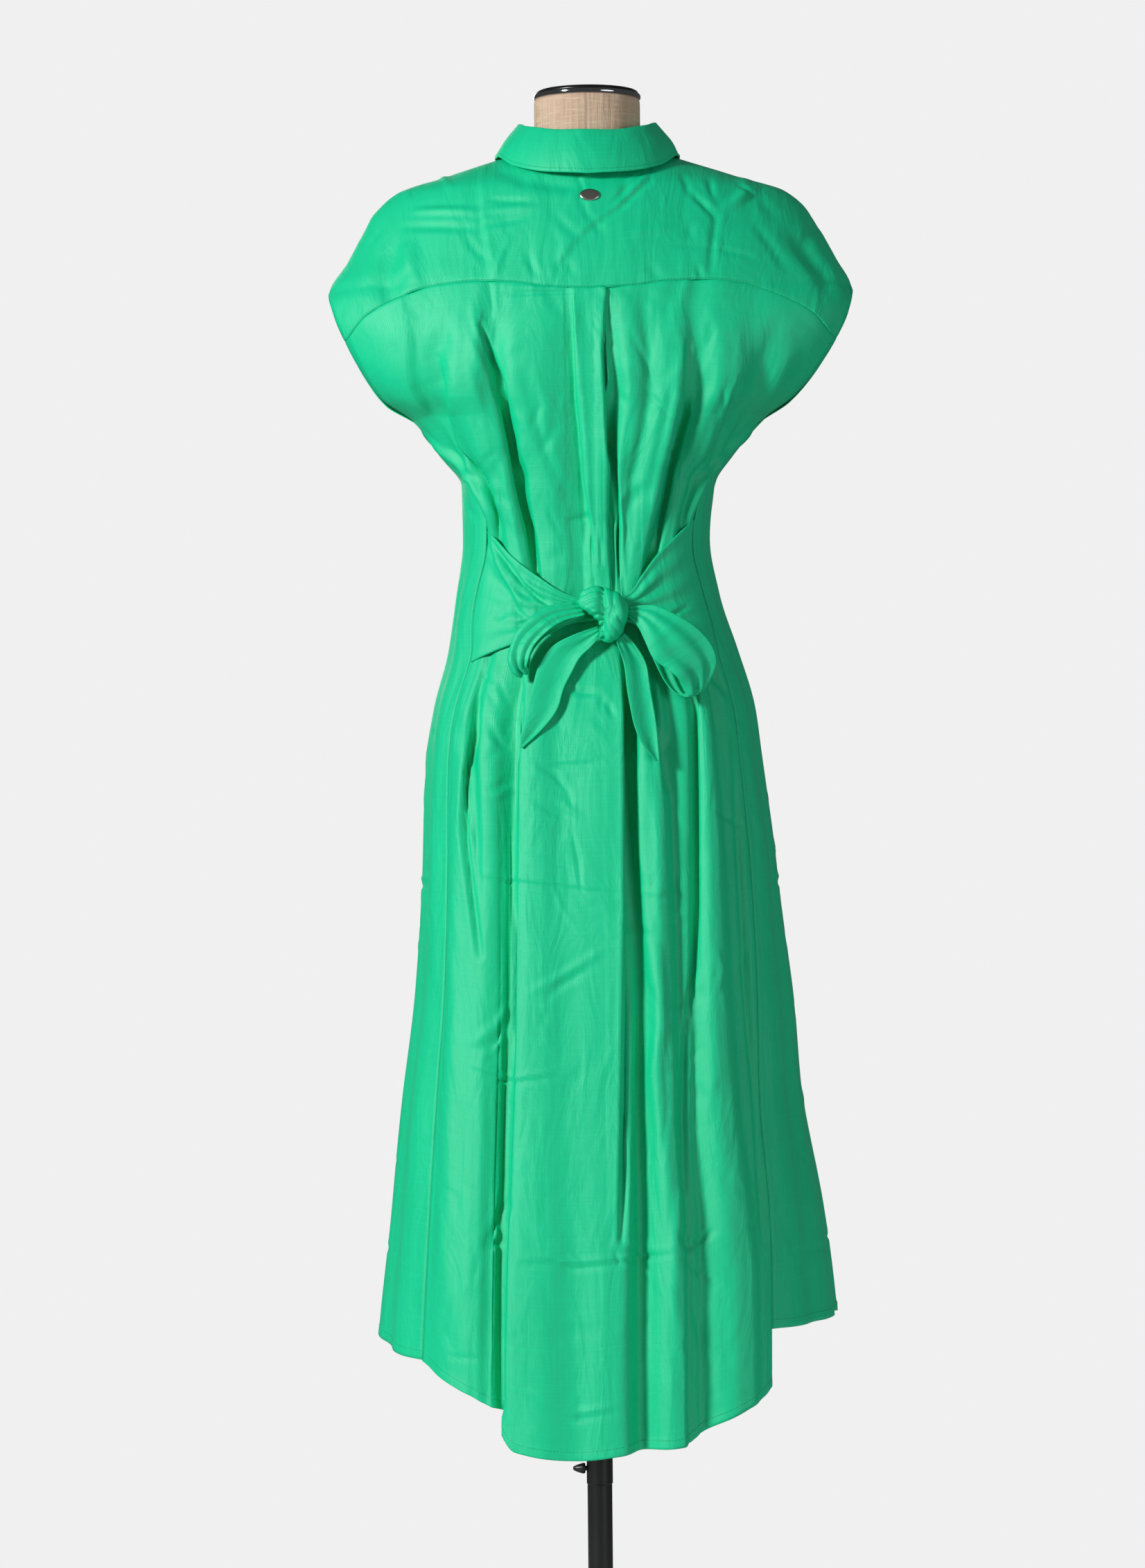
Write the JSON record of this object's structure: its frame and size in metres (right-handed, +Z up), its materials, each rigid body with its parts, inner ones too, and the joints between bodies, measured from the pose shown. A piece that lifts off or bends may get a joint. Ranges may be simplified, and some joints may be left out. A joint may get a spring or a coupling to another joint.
{
  "type": "midi shirt dress on a limbless dress form with a stand",
  "caption": "Midi shirt dress with cap sleeves, a back yoke, a pleated back and side ties knotted in a bow behind the waist, worn by a limbless dress form on a pole stand.",
  "frame": {"origin": "centre of the base plate's underside, on the floor", "axes": "+Z up; the front of the dress faces -Y and its back with the bow faces +Y; +X is the wearer's left"},
  "size_m": [0.527, 0.4239, 1.7236],
  "materials": {
    "dress_cloth": "plain woven viscose and linen blend, soft sheen",
    "button_green": "polished dyed-to-match shirt buttons",
    "stud_metal": "plain oval metal plate",
    "form_linen": "natural linen cover",
    "neck_ring_metal": "polished ring",
    "neck_cap_black": "black cap",
    "clamp_metal": "black paint",
    "stand_black": "satin black paint"
  },
  "bodies": {
    "stand": {"base_plate": "stand_black", "lower_tube": "stand_black"},
    "clamp": {"clamp_screw": "clamp_metal"},
    "form": {"form_pole": "stand_black", "form_torso": "form_linen", "neck_ring": "neck_ring_metal", "neck_cap": "neck_cap_black", "back_yoke": "dress_cloth", "back_bodice": "dress_cloth", "back_skirt": "dress_cloth", "front_left": "dress_cloth", "front_right": "dress_cloth", "front_placket": "dress_cloth", "button_01": "button_green", "button_02": "button_green", "button_03": "button_green", "button_04": "button_green", "button_05": "button_green", "button_06": "button_green", "button_07": "button_green", "button_08": "button_green", "button_09": "button_green", "button_10": "button_green", "collar_stand": "dress_cloth", "collar_leaf": "dress_cloth", "nape_stud": "stud_metal", "tie_panel_left": "dress_cloth", "tie_panel_right": "dress_cloth", "bow_knot": "dress_cloth", "bow_loop_left": "dress_cloth", "bow_loop_right": "dress_cloth", "tie_tail_left": "dress_cloth", "tie_tail_right": "dress_cloth"}
  },
  "joints": [
    {"name": "height_slide", "type": "slide", "parent": "stand", "child": "form", "axis": [0, 0, 1], "range_m": [-0.1, 0.1]},
    {"name": "clamp_turn", "type": "hinge", "parent": "stand", "child": "clamp", "pos_m": [0, 0, 0.331], "axis": [1, 0, 0], "continuous": true}
  ]
}
